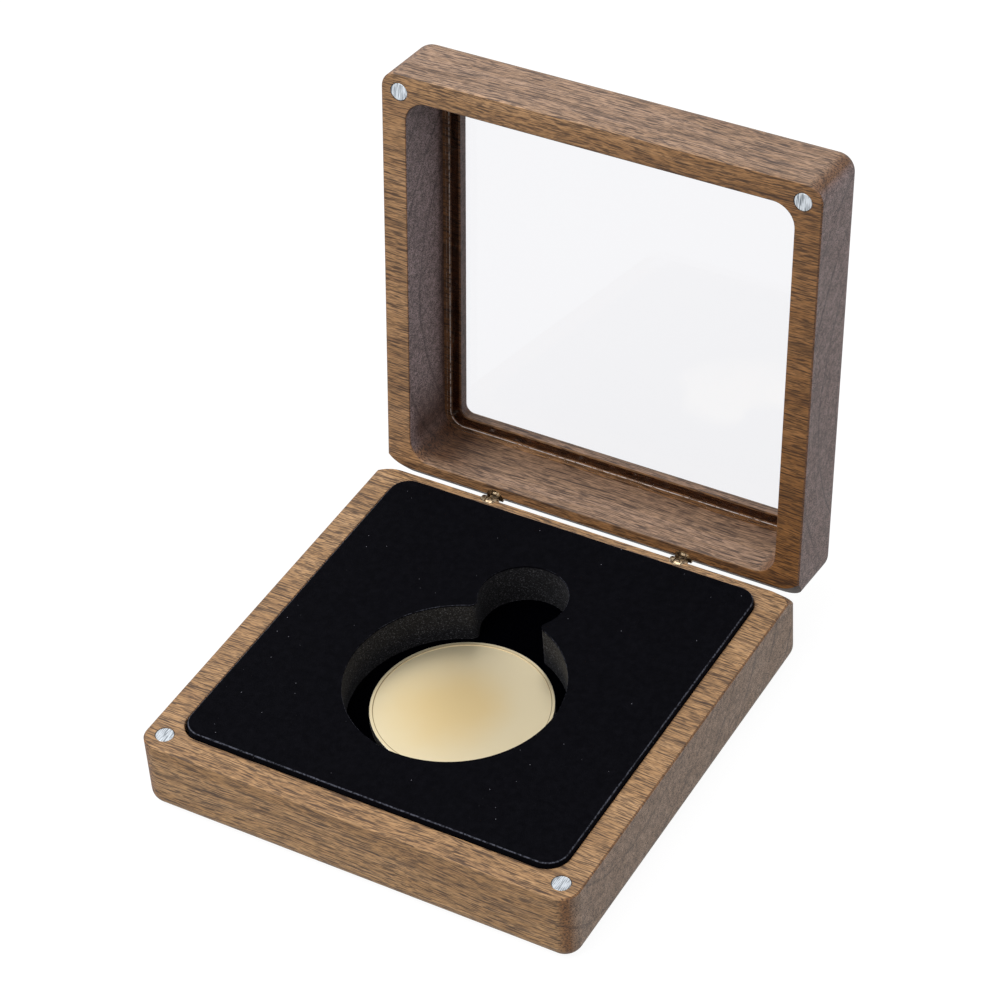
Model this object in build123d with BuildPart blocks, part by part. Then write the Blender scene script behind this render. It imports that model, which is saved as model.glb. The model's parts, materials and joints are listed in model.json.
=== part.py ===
from math import atan2, cos, degrees, radians, sin
import os

from build123d import *

# A square wooden display case for one coin. The base holds a velvet insert with the coin in its recess,
# and the lid is a frame round a clear pane. Two small double-pivot barrel hinges join the halves.
# Millimetres and degrees. +Z is up, +Y runs from the front edge to the hinges, and the origin is the
# centre of the base's underside. The lid stands open on its stop.

# ------------------------------------------------------------------------------------ sizes

# the two wooden halves
case_width = 100.0
case_depth = 100.0
base_height = 17.5
lid_height = 17.5
corner_radius = 4.0  # upright corners
outer_round = 3.5  # edges of the underside and of the lid's outer face
joint_arris = 0.3  # edges of the two faces that meet when the case is shut
floor_thickness = 5.0  # wood under the insert
pocket_corner_radius = 5.0
mouth_round = 0.3  # top edge of both pockets
closed_gap = 0.05  # between the joint faces when the case is shut

# what lies in the base's pocket
pad_thickness = 3.5
liner_thickness = 0.6
velvet_thickness = 0.4
insert_side_gap = 0.4  # between the pocket's left and right walls and a centred insert
insert_end_gap = 0.2  # the same at the front and the back
insert_shift_x = 0.3  # it lies a little to the right
insert_proud = 1.35  # the velvet stands above the wood
insert_edge_round = 0.5
recess_y = -7.5
coin_room = 3.9  # between the recess's wall and a centred coin
recess_edge_round = 0.3
notch_radius = 9.6  # finger notch behind the recess
notch_offset = 5.5  # from the recess's edge to the notch's centre
neck_round = 1.5  # where the notch meets the recess

# the coin
coin_radius = 19.2
coin_thickness = 2.2
coin_rim_width = 0.8
coin_rim_height = 0.15
coin_edge_round = 0.12
coin_shift_x = 0.6  # it lies a little off the recess's centre
coin_shift_y = 1.1

# the lid's window
ledge_width = 4.3  # wood that the pane is glued to
ledge_thickness = 2.6
window_corner_radius = 2.0
window_edge_round = 0.5
pane_thickness = 1.5
pane_side_gap = 1.6
pane_arris = 0.12
glue_thickness = 0.15
glue_margin = 0.5  # from the ledge's edge, and from the pane's edge

# the magnets, in the corners away from the hinges
magnet_radius = 2.0
magnet_length = 3.0
magnet_inset = 4.25  # from both outer faces to the magnet's axis
magnet_sink = 0.05  # below the joint face
magnet_edge = 0.15  # bevelled edge of the face that shows
glue_gap = 0.05  # round everything that is glued into a drilled hole

# the hinges: two barrels each, joined by leaves on two pins
hinge_spacing = 46.0
hinge_setback = 2.7  # from the back face to the barrels' axes
barrel_radius = 2.0
barrel_length = 9.0  # from the joint face to the barrel's blind end
barrel_wood = 1.1  # between the barrels and the pockets
bevel_past_axis = 0.6  # the bevelled back edges reach this far past the barrels' axes
bevel_depth = 3.6  # from the joint face to the bevel's outer edge
bevel_corner_radius = 7.0  # where the bevel turns towards the side faces
bevel_side_reach = 1.8  # from the side faces out to where its turned corners would end
pin_depth = 1.75  # from the joint face to the pin
pin_radius = 0.5
pin_end_gap = 0.15
pin_play = 0.04
cheek_setback = 0.3  # from the joint face to the top of the barrel's rounded cheeks
leaf_count = 3
leaf_thickness = 0.55
leaf_gap = 0.05
leaf_setback = 0.25  # from the cheeks' round to the leaves'
leaf_waist = 1.0
slot_clearance = 0.15

# how far the lid stands open: the leaves lie back by the first angle, and the lid on them by the second
leaf_swing = 90.0
lid_swing = 6.75

# ------------------------------------------------------------------------------------ worked out

wall = hinge_setback + barrel_radius + barrel_wood
bevel_run = hinge_setback + bevel_past_axis
bevel_angle = degrees(atan2(bevel_run, bevel_depth))
pocket_width = case_width - 2 * wall
pocket_length = case_depth - 2 * wall
base_pocket_depth = base_height - floor_thickness
lid_pocket_depth = lid_height - ledge_thickness

insert_width = pocket_width - 2 * insert_side_gap
insert_length = pocket_length - 2 * insert_end_gap
insert_corner_radius = pocket_corner_radius - insert_side_gap
insert_top = base_height + insert_proud
foam_width = insert_width - 2 * velvet_thickness
foam_length = insert_length - 2 * velvet_thickness
foam_corner_radius = insert_corner_radius - velvet_thickness
foam_top = insert_top - velvet_thickness
liner_z = floor_thickness + pad_thickness
recess_floor_z = liner_z + liner_thickness
recess_radius = coin_radius + coin_room
notch_y = recess_y + recess_radius + notch_offset

window_width = pocket_width - 2 * ledge_width
window_length = pocket_length - 2 * ledge_width
pane_width = pocket_width - 2 * pane_side_gap
pane_length = pocket_length - 2 * pane_side_gap
pane_corner_radius = pocket_corner_radius - pane_side_gap
glue_depth = lid_pocket_depth - glue_thickness

magnet_x = case_width / 2 - magnet_inset
magnet_y = case_depth / 2 - magnet_inset
barrel_y = case_depth / 2 - hinge_setback
cheek_radius = pin_depth - cheek_setback
leaf_end_radius = cheek_radius - leaf_setback
slot_reach = leaf_end_radius + slot_clearance
slot_width = leaf_count * leaf_thickness + (leaf_count + 1) * leaf_gap
pin_pitch = 2 * pin_depth + closed_gap
hinge_sides = {"left": -hinge_spacing / 2, "right": hinge_spacing / 2}
magnet_sides = {"left": -magnet_x, "right": magnet_x}

# The base pins lie along X, and the leaves lead from them to the lid pins.
base_pin_z = base_height - pin_depth
leaf_y = sin(radians(leaf_swing))
leaf_z = cos(radians(leaf_swing))
lid_pin_y = barrel_y + pin_pitch * leaf_y
lid_pin_z = base_pin_z + pin_pitch * leaf_z

# Each half is drawn on its joint face: y leads to the hinge edge and z into the wood.
lid_angle = radians(leaf_swing + lid_swing)
base_face = Plane(origin=(0, 0, base_height), x_dir=(-1, 0, 0), z_dir=(0, 0, -1))
lid_face = Plane(
    origin=(
        0,
        lid_pin_y - barrel_y * cos(lid_angle) - pin_depth * sin(lid_angle),
        lid_pin_z + barrel_y * sin(lid_angle) - pin_depth * cos(lid_angle),
    ),
    x_dir=(1, 0, 0),
    z_dir=(0, sin(lid_angle), cos(lid_angle)),
)
faces = {"base": base_face, "lid": lid_face}

os.makedirs("parts", exist_ok=True)


def save(part, name):
    """Name a finished piece and write its file."""
    part.label = name
    export_step(part, f"parts/{name}.step")


def side_plane(face):
    """A plane through the middle of a half: x leads to the hinge edge and y into the wood."""
    return Plane(origin=face.origin, x_dir=face.y_dir, z_dir=face.x_dir)


# ------------------------------------------------------------------------------------ wooden halves


def wooden_half(face, height, pocket_depth, has_window):
    """A rounded block with a pocket, a bevelled hinge edge and the holes for magnets and barrels."""
    into_wood = Axis(face.origin, face.z_dir)
    with BuildPart() as half:
        with BuildSketch(face):
            RectangleRounded(case_width, case_depth, corner_radius)
        extrude(amount=height)
        fillet(half.faces().sort_by(into_wood)[-1].edges(), min(outer_round, corner_radius - joint_arris))
        chamfer(half.faces().sort_by(into_wood)[0].edges(), joint_arris)
        # bevel along the hinge edge, whose ends curve out through the side faces
        with BuildSketch(face) as bevel_outline:
            with Locations((0, case_depth / 2 - bevel_run)):
                Rectangle(
                    case_width + 2 * bevel_side_reach, case_depth, align=(Align.CENTER, Align.MAX)
                )
            fillet(bevel_outline.vertices().group_by(Axis.Y)[-1], bevel_corner_radius)
        extrude(amount=height, taper=-bevel_angle, mode=Mode.INTERSECT)
        # pocket
        with BuildSketch(face):
            RectangleRounded(pocket_width, pocket_length, pocket_corner_radius)
        extrude(amount=pocket_depth, mode=Mode.SUBTRACT)
        fillet(half.faces().sort_by(into_wood)[0].inner_wires()[0].edges(), mouth_round)
        if has_window:
            with BuildSketch(face):
                RectangleRounded(window_width, window_length, window_corner_radius)
            extrude(amount=height, mode=Mode.SUBTRACT)
            fillet(half.faces().sort_by(into_wood)[-1].inner_wires()[0].edges(), window_edge_round)
        # magnet holes
        with BuildSketch(face):
            with Locations((-magnet_x, -magnet_y), (magnet_x, -magnet_y)):
                Circle(magnet_radius + glue_gap)
        extrude(amount=magnet_sink + magnet_length, mode=Mode.SUBTRACT)
        # barrel holes
        with BuildSketch(face):
            with Locations((-hinge_spacing / 2, barrel_y), (hinge_spacing / 2, barrel_y)):
                Circle(barrel_radius + glue_gap)
        extrude(amount=barrel_length, mode=Mode.SUBTRACT)
    return half.part


save(wooden_half(base_face, base_height, base_pocket_depth, has_window=False), "base_block")
save(wooden_half(lid_face, lid_height, lid_pocket_depth, has_window=True), "lid_frame")

# ------------------------------------------------------------------------------------ insert

with BuildSketch(Plane.XY.offset(recess_floor_z)) as keyhole:
    with Locations((0, recess_y)):
        Circle(recess_radius)
    with Locations((0, notch_y)):
        Circle(notch_radius)
    # growing and shrinking the outline rounds the two corners where the circles cross
    offset(amount=neck_round)
    offset(amount=-neck_round)


def insert_block(width, length, corner, top, edge_round):
    """A rounded block from the recess's floor up, before the keyhole is cut."""
    with BuildPart() as block:
        with BuildSketch(Plane.XY.offset(recess_floor_z)):
            with Locations((insert_shift_x, 0)):
                RectangleRounded(width, length, corner)
        extrude(amount=top - recess_floor_z)
        fillet(block.faces().sort_by(Axis.Z)[-1].edges(), edge_round)
    return block.part


foam_block = insert_block(
    foam_width, foam_length, foam_corner_radius, foam_top, insert_edge_round - velvet_thickness
)
velvet_block = insert_block(
    insert_width, insert_length, insert_corner_radius, insert_top, insert_edge_round
)

# backing pad on the pocket's floor
with BuildPart() as insert_pad:
    with BuildSketch(Plane.XY.offset(floor_thickness)):
        with Locations((insert_shift_x, 0)):
            RectangleRounded(foam_width, foam_length, foam_corner_radius)
    extrude(amount=pad_thickness)
save(insert_pad.part, "insert_pad")

# liner that the coin lies on
with BuildPart() as recess_floor:
    with BuildSketch(Plane.XY.offset(liner_z)):
        with Locations((insert_shift_x, 0)):
            RectangleRounded(foam_width, foam_length, foam_corner_radius)
    extrude(amount=liner_thickness)
save(recess_floor.part, "recess_floor")

# foam with the keyhole cut right through
with BuildPart() as insert_foam:
    add(foam_block)
    extrude(keyhole.sketch, amount=foam_top - recess_floor_z, mode=Mode.SUBTRACT)
save(insert_foam.part, "insert_foam")

# velvet over the foam's top and down its sides
with BuildPart() as velvet_cover:
    add(velvet_block)
    add(foam_block, mode=Mode.SUBTRACT)
    extrude(keyhole.sketch, amount=insert_top - recess_floor_z, mode=Mode.SUBTRACT)
    fillet(velvet_cover.faces().sort_by(Axis.Z)[-1].inner_wires()[0].edges(), recess_edge_round)
save(velvet_cover.part, "velvet_cover")

# ------------------------------------------------------------------------------------ coin

# a blank, dished on both faces inside its rim
with BuildPart() as coin_blank:
    with BuildSketch(Plane.XY.offset(recess_floor_z)):
        with Locations((coin_shift_x, recess_y + coin_shift_y)):
            Circle(coin_radius)
    extrude(amount=coin_thickness)
    fillet(coin_blank.edges().filter_by(GeomType.CIRCLE), coin_edge_round)
    for face_z in (recess_floor_z, recess_floor_z + coin_thickness - coin_rim_height):
        with BuildSketch(Plane.XY.offset(face_z)):
            with Locations((coin_shift_x, recess_y + coin_shift_y)):
                Circle(coin_radius - coin_rim_width)
        extrude(amount=coin_rim_height, mode=Mode.SUBTRACT)
save(coin_blank.part, "coin_blank")

# ------------------------------------------------------------------------------------ window

# glue line between the ledge and the pane
with BuildPart() as pane_adhesive:
    with BuildSketch(lid_face.offset(glue_depth)):
        RectangleRounded(
            pane_width - 2 * glue_margin, pane_length - 2 * glue_margin, pane_corner_radius - glue_margin
        )
        RectangleRounded(
            window_width + 2 * glue_margin,
            window_length + 2 * glue_margin,
            window_corner_radius + glue_margin,
            mode=Mode.SUBTRACT,
        )
    extrude(amount=glue_thickness)
save(pane_adhesive.part, "pane_adhesive")

with BuildPart() as window_pane:
    with BuildSketch(lid_face.offset(glue_depth - pane_thickness)):
        RectangleRounded(pane_width, pane_length, pane_corner_radius)
    extrude(amount=pane_thickness)
    pane_axis = Axis(lid_face.origin, lid_face.z_dir)
    for pane_side in (0, -1):
        chamfer(window_pane.faces().sort_by(pane_axis)[pane_side].edges(), pane_arris)
save(window_pane.part, "window_pane")

# ------------------------------------------------------------------------------------ magnets

for half_name, face in faces.items():
    for side_name, magnet_place in magnet_sides.items():
        with BuildPart() as magnet:
            with BuildSketch(face.offset(magnet_sink)):
                with Locations((magnet_place * face.x_dir.X, -magnet_y)):
                    Circle(magnet_radius)
            extrude(amount=magnet_length)
            chamfer(magnet.faces().sort_by(Axis(face.origin, face.z_dir))[0].edges(), magnet_edge)
        save(magnet.part, f"{half_name}_magnet_{side_name}")

# ------------------------------------------------------------------------------------ hinges


def pin_plane(face, place):
    """A plane across one pin, with its origin on the pin's axis: x leads to the back, y into the wood."""
    across = side_plane(face)
    centre = face.from_local_coords((place * face.x_dir.X, barrel_y, pin_depth))
    return Plane(origin=centre, x_dir=across.x_dir, z_dir=across.z_dir)


def barrel(face, place):
    """A barrel with a slot for the leaves, its end cut back at 45 degrees but for two rounded cheeks."""
    across = pin_plane(face, place)
    with BuildPart() as body:
        with BuildSketch(face.offset(cheek_setback)):
            with Locations((place * face.x_dir.X, barrel_y)):
                Circle(barrel_radius)
        extrude(amount=barrel_length - cheek_setback)
        # 45 degree shoulder behind the pin
        reach = barrel_length
        with BuildSketch(across):
            Polygon((0, 0), (reach, reach), (reach, -reach), (0, -reach), align=None)
            Circle(cheek_radius, mode=Mode.SUBTRACT)
        extrude(amount=barrel_radius, both=True, mode=Mode.SUBTRACT)
        # slot, open at the back and the end
        with BuildSketch(across):
            Polygon(
                (-slot_reach, slot_reach),
                (reach, slot_reach),
                (reach, -reach),
                (-slot_reach, -reach),
                align=None,
            )
        extrude(amount=slot_width / 2, both=True, mode=Mode.SUBTRACT)
        with BuildSketch(across):
            Circle(pin_radius)
        extrude(amount=barrel_radius, both=True, mode=Mode.SUBTRACT)
    return body.part


for side_name, hinge_place in hinge_sides.items():
    for half_name, face in faces.items():
        save(barrel(face, hinge_place), f"{side_name}_hinge_{half_name}_barrel")
        with BuildPart() as pin:
            with BuildSketch(pin_plane(face, hinge_place)):
                Circle(pin_radius)
            extrude(amount=barrel_radius - pin_end_gap, both=True)
        save(pin.part, f"{side_name}_hinge_{half_name}_pin")
    # leaves side by side on both pins
    for leaf_number in range(leaf_count):
        leaf_x = hinge_place + (leaf_number - (leaf_count - 1) / 2) * (leaf_thickness + leaf_gap)
        with BuildPart() as leaf:
            leaf_origin = (leaf_x, barrel_y, base_pin_z)
            with BuildSketch(Plane(origin=leaf_origin, x_dir=(0, leaf_y, leaf_z), z_dir=(1, 0, 0))):
                with Locations((0, 0), (pin_pitch, 0)):
                    Circle(leaf_end_radius)
                with Locations((pin_pitch / 2, 0)):
                    Rectangle(pin_pitch, leaf_waist)
                with Locations((0, 0), (pin_pitch, 0)):
                    Circle(pin_radius + pin_play, mode=Mode.SUBTRACT)
            extrude(amount=leaf_thickness / 2, both=True)
        save(leaf.part, f"{side_name}_hinge_leaf_{leaf_number + 1}")
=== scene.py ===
import json
import math
import bmesh
import bpy
from mathutils import Matrix, Vector


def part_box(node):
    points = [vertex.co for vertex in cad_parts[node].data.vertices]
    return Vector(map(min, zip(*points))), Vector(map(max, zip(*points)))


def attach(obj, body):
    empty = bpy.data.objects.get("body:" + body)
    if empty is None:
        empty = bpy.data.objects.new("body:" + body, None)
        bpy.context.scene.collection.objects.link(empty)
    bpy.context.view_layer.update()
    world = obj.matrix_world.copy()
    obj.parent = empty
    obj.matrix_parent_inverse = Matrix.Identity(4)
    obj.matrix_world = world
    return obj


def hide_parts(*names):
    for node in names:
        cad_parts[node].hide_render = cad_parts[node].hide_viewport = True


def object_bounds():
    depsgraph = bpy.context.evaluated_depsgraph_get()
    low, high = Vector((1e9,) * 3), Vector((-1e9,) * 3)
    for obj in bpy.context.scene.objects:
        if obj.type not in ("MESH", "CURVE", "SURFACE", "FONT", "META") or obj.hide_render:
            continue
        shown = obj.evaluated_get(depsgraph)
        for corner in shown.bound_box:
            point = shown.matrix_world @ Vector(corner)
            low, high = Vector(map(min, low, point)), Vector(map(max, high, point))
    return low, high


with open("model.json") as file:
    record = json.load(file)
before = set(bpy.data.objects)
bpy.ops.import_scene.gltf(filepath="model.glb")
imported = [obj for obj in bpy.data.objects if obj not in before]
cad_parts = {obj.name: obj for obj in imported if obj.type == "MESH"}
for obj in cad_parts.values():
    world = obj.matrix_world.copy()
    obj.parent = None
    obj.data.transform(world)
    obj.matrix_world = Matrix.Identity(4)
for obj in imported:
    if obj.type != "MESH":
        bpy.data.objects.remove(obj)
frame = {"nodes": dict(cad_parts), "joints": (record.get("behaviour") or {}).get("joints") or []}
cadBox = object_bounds()
nodes = frame["nodes"]
millimetre = 0.001
print("frame loaded")


# small helpers

def mm(*lengths):
    # millimetres to metres, one value or a whole place
    metres = tuple(length * millimetre for length in lengths)
    return metres[0] if len(metres) == 1 else metres


def colour(hexCode):
    # sRGB hex to the linear colour that the shaders take
    channels = [int(hexCode[i:i + 2], 16) / 255 for i in (1, 3, 5)]
    linear = [c / 12.92 if c <= 0.04045 else ((c + 0.055) / 1.055) ** 2.4 for c in channels]
    return (*linear, 1.0)


def newMaterial(name):
    material = bpy.data.materials.new(name)
    material.use_nodes = True
    tree = material.node_tree
    return material, tree, tree.nodes["Principled BSDF"]


def setInputs(tree, node, inputs):
    # an input takes a value or the socket that feeds it
    for name, value in inputs.items():
        socket = node.inputs[name]
        if isinstance(value, bpy.types.NodeSocket):
            tree.links.new(value, socket)
        else:
            socket.default_value = value


def addNode(tree, kind, inputs=None, stops=None, **settings):
    # one node with its settings, its links and, on a colour ramp, its stops. A Mix node's inputs
    # 2 and 3 are numbers that leave by output 0, and its inputs 6 and 7 are colours, by output 2
    node = tree.nodes.new("ShaderNode" + kind)
    for name, value in settings.items():
        setattr(node, name, value)
    if stops:
        ramp = node.color_ramp
        while len(ramp.elements) < len(stops):
            ramp.elements.new(1.0)
        for element, (position, shade) in zip(ramp.elements, stops):
            element.position = position
            element.color = shade if len(shade) == 4 else (*shade, 1.0)
    setInputs(tree, node, inputs or {})
    return node


def placeOnPiece(tree, squashZ=1.0):
    # the coordinates node, and the piece's own place in millimetres
    place = addNode(tree, "TexCoord")
    millimetres = addNode(tree, "Mapping", {
        "Vector": place.outputs["Object"],
        "Scale": (1 / millimetre, 1 / millimetre, squashZ / millimetre),
    })
    return place, millimetres.outputs["Vector"]


def paint(nodeNames, material):
    # gives CAD nodes their real finish, and keeps their shape
    for name in nodeNames:
        slots = nodes[name].data.materials
        slots.clear()
        slots.append(material)


def activate(piece):
    # makes one piece the only one that operators act on
    if bpy.context.mode != "OBJECT":
        bpy.ops.object.mode_set(mode="OBJECT")
    bpy.ops.object.select_all(action="DESELECT")
    piece.select_set(True)
    bpy.context.view_layer.objects.active = piece


def startEditing(piece):
    activate(piece)
    bpy.ops.object.mode_set(mode="EDIT")
    bpy.ops.mesh.select_mode(type="VERT")


def selectEdges(piece, isWanted):
    # edit mode: selects the edges that pass the test
    mesh = bmesh.from_edit_mesh(piece.data)
    bpy.ops.mesh.select_mode(type="EDGE")
    bpy.ops.mesh.select_all(action="DESELECT")
    for edge in mesh.edges:
        edge.select_set(isWanted(edge))
    bmesh.update_edit_mesh(piece.data)


def useModifier(piece, kind, **settings):
    # adds a modifier and applies it at once, as its button does
    activate(piece)
    modifier = piece.modifiers.new(kind.title(), kind)
    for name, value in settings.items():
        setattr(modifier, name, value)
    bpy.ops.object.modifier_apply(modifier=modifier.name)


def cloudTexture(name, featureSize, depth=2):
    texture = bpy.data.textures.new(name, "CLOUDS")
    texture.noise_scale = featureSize
    texture.noise_depth = depth
    return texture


# the two outlines of the insert

keyhole = {
    "recessRadius": mm(23.1),
    "recessY": mm(-7.5),
    "notchRadius": mm(9.6),
    "notchY": mm(21.1),
    "notchShare": 0.75,  # how much of the notch's circle lies outside the recess
    "neckRound": mm(1.5),
    "recessSteps": 128,
    "notchSteps": 88,
    "neckSteps": 20,
    "weldGap": mm(0.01),
}


def addKeyhole(name, height):
    # one vertex spun round the recess, a neck, the notch and the other neck
    span = keyhole["notchY"] - keyhole["recessY"]
    wide = keyhole["recessRadius"] + keyhole["neckRound"]
    tight = keyhole["notchRadius"] + keyhole["neckRound"]
    recessAngle = math.acos((wide ** 2 + span ** 2 - tight ** 2) / (2 * wide * span))
    notchAngle = math.acos((tight ** 2 + span ** 2 - wide ** 2) / (2 * tight * span))
    neckTurn = math.pi - recessAngle - notchAngle
    neckX = wide * math.sin(recessAngle)
    neckY = keyhole["recessY"] + wide * math.cos(recessAngle)
    startX = -keyhole["recessRadius"] * math.sin(recessAngle)
    startY = keyhole["recessY"] + keyhole["recessRadius"] * math.cos(recessAngle)
    bpy.ops.object.select_all(action="DESELECT")
    bpy.ops.mesh.primitive_plane_add(size=millimetre, location=(startX, startY, height))
    piece = bpy.context.object
    piece.name = name
    bpy.ops.object.transform_apply(location=True, rotation=False, scale=False)
    startEditing(piece)
    bpy.ops.mesh.select_all(action="SELECT")
    bpy.ops.mesh.merge(type="CENTER")
    turns = (
        (0, keyhole["recessY"], 2 * (math.pi - recessAngle), keyhole["recessSteps"]),
        (neckX, neckY, -neckTurn, keyhole["neckSteps"]),
        (0, keyhole["notchY"], 2 * (math.pi - notchAngle), keyhole["notchSteps"]),
        (-neckX, neckY, -neckTurn, keyhole["neckSteps"]),
    )
    for centreX, centreY, turn, steps in turns:
        # about -z, a spin of a positive angle runs anticlockwise
        centre = (centreX, centreY, height)
        bpy.ops.mesh.spin(steps=steps, angle=turn, center=centre, axis=(0, 0, -1))
    bpy.ops.mesh.select_all(action="SELECT")
    bpy.ops.mesh.remove_doubles(threshold=keyhole["weldGap"])
    bpy.ops.object.mode_set(mode="OBJECT")
    return piece


roundedSquare = {
    "cornerSteps": 16,
    "sideSteps": 48,
    "margin": mm(0.05),
}


def addRoundedSquare(name, low, high, corner, height):
    # a plane whose corners are bevelled and whose sides are cut up, left as an outline
    middle = (low + high) / 2
    span = high - low
    bpy.ops.object.select_all(action="DESELECT")
    bpy.ops.mesh.primitive_plane_add(size=1, location=(middle.x, middle.y, height))
    piece = bpy.context.object
    piece.name = name
    bpy.ops.transform.resize(value=(span.x, span.y, 1))
    bpy.ops.object.transform_apply(location=True, rotation=False, scale=True)
    startEditing(piece)
    bpy.ops.mesh.select_all(action="SELECT")
    bpy.ops.mesh.bevel(
        offset=corner, offset_type="OFFSET", segments=roundedSquare["cornerSteps"],
        affect="VERTICES",
    )
    bpy.ops.mesh.select_all(action="SELECT")
    bpy.ops.mesh.delete(type="ONLY_FACE")
    selectEdges(piece, lambda edge: edge.calc_length() > span.x / 2)
    bpy.ops.mesh.subdivide(number_cuts=roundedSquare["sideSteps"] - 1)
    bpy.ops.object.mode_set(mode="OBJECT")
    return piece


def settleNormals(piece):
    # edit mode: an open flat has no outside, so its normals are made to agree and to point up
    bpy.ops.mesh.select_all(action="SELECT")
    bpy.ops.mesh.normals_make_consistent(inside=False)
    mesh = bmesh.from_edit_mesh(piece.data)
    mesh.normal_update()
    if sum(face.normal.z * face.calc_area() for face in mesh.faces) < 0:
        bpy.ops.mesh.flip_normals()


def bridgeOutlines(piece, outline, rings):
    # joins the two outlines and fills the flat between them with rings of quads
    bpy.ops.object.select_all(action="DESELECT")
    outline.select_set(True)
    piece.select_set(True)
    bpy.context.view_layer.objects.active = piece
    bpy.ops.object.join()
    startEditing(piece)
    bpy.ops.mesh.select_mode(type="EDGE")
    bpy.ops.mesh.select_all(action="SELECT")
    bpy.ops.mesh.bridge_edge_loops(number_cuts=rings, interpolation="LINEAR")
    settleNormals(piece)
    bpy.ops.object.mode_set(mode="OBJECT")


def cornerward(point, low, high, corner):
    # how far a point lies beyond the inner square that the corners' centres make
    middle = (low + high) / 2
    reach = (high - low) / 2
    return Vector((
        math.copysign(max(abs(point.x - middle.x) - (reach.x - corner), 0), point.x - middle.x),
        math.copysign(max(abs(point.y - middle.y) - (reach.y - corner), 0), point.y - middle.y),
        0,
    ))


def pushOut(piece, low, high, corner, step):
    # edit mode: moves the selected rim of a rounded square straight outwards
    mesh = bmesh.from_edit_mesh(piece.data)
    for vertex in [v for v in mesh.verts if v.select]:
        vertex.co += cornerward(vertex.co, low, high, corner).normalized() * step
    bmesh.update_edit_mesh(piece.data)


def isRim(edge, low, high, corner):
    # true where both ends lie on the rounded square or beyond it
    least = corner - roundedSquare["margin"]
    return all(cornerward(end.co, low, high, corner).length > least for end in edge.verts)


# insert: backing pad, liner, foam and velvet

insert = {
    "foamCorner": mm(4.15),
    "skinGap": mm(0.02),
    "topRings": 27,
    "wallRows": 22,
    "wallLine": mm(1),  # an edge that drops further than this runs down the wall
    "cellDepth": mm(0.16),
    "cellSize": mm(0.55),
    "smoothAngle": math.radians(40),
}
velvet = {
    "thickness": mm(0.4),
    "corner": mm(4.55),
    "edgeRoll": mm(0.45),
    "rollBand": 1.4,  # the plain band that is rolled, in rolls, which the rings stay out of
    "rollSteps": 5,
    "sideRows": 6,
    "cutEdgeRound": mm(0.15),
    "cutEdgeSteps": 2,
    "cutEdgeAngle": math.radians(60),
    "swell": mm(0.14),
    "swellSize": mm(17),
    "swellDetail": 1,
    "swellLevel": 0.85,  # above a half, so the cloth sinks more than it rises
    "napHeight": mm(0.06),
    "napSize": mm(0.5),
}
filledPad = {
    "gridSpan": 64,
    "edgeSteps": 3,
    "edgeAngle": math.radians(50),
}
liner = {"edgeRound": mm(0.1), "cellDepth": mm(0.08)}
backing = {"edgeRound": mm(0.5), "cellDepth": mm(0.15)}


def makeFilledPad(name, cadNode, look):
    # a rounded square of soft sheet or foam that fills its node's place
    low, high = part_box(cadNode)
    skin = Vector((1, 1, 0)) * insert["skinGap"]
    piece = addRoundedSquare(name, low + skin, high - skin, insert["foamCorner"], high.z)
    startEditing(piece)
    bpy.ops.mesh.select_mode(type="EDGE")
    bpy.ops.mesh.select_all(action="SELECT")
    bpy.ops.mesh.fill_grid(span=filledPad["gridSpan"])
    settleNormals(piece)
    bpy.ops.object.mode_set(mode="OBJECT")
    useModifier(piece, "SOLIDIFY", thickness=high.z - low.z, offset=-1)
    useModifier(
        piece, "BEVEL", width=look["edgeRound"], segments=filledPad["edgeSteps"],
        limit_method="ANGLE", angle_limit=filledPad["edgeAngle"],
    )
    useModifier(  # a level of 1 only sinks the cells
        piece, "DISPLACE", texture=cloudTexture(name + "Cells", insert["cellSize"]),
        strength=look["cellDepth"], mid_level=1.0, texture_coords="LOCAL",
    )
    return piece


def makeFoam():
    # the foam block: its cut wall is the wall of the recess
    low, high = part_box("insert_foam")
    top = high.z - insert["skinGap"]
    bottom = low.z + insert["skinGap"]
    skin = Vector((1, 1, 0)) * insert["skinGap"]
    piece = addRoundedSquare("foamBlock", low + skin, high - skin, insert["foamCorner"], top)
    bridgeOutlines(piece, addKeyhole("foamCut", top), insert["topRings"])
    useModifier(piece, "SOLIDIFY", thickness=top - bottom, offset=-1)
    startEditing(piece)
    selectEdges(
        piece,
        lambda edge: abs(edge.verts[0].co.z - edge.verts[1].co.z) > insert["wallLine"],
    )
    bpy.ops.mesh.subdivide(number_cuts=insert["wallRows"])
    bpy.ops.object.mode_set(mode="OBJECT")
    useModifier(
        piece, "DISPLACE", texture=cloudTexture("foamCells", insert["cellSize"]),
        strength=insert["cellDepth"], mid_level=1.0, texture_coords="LOCAL",
    )
    return piece


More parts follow.
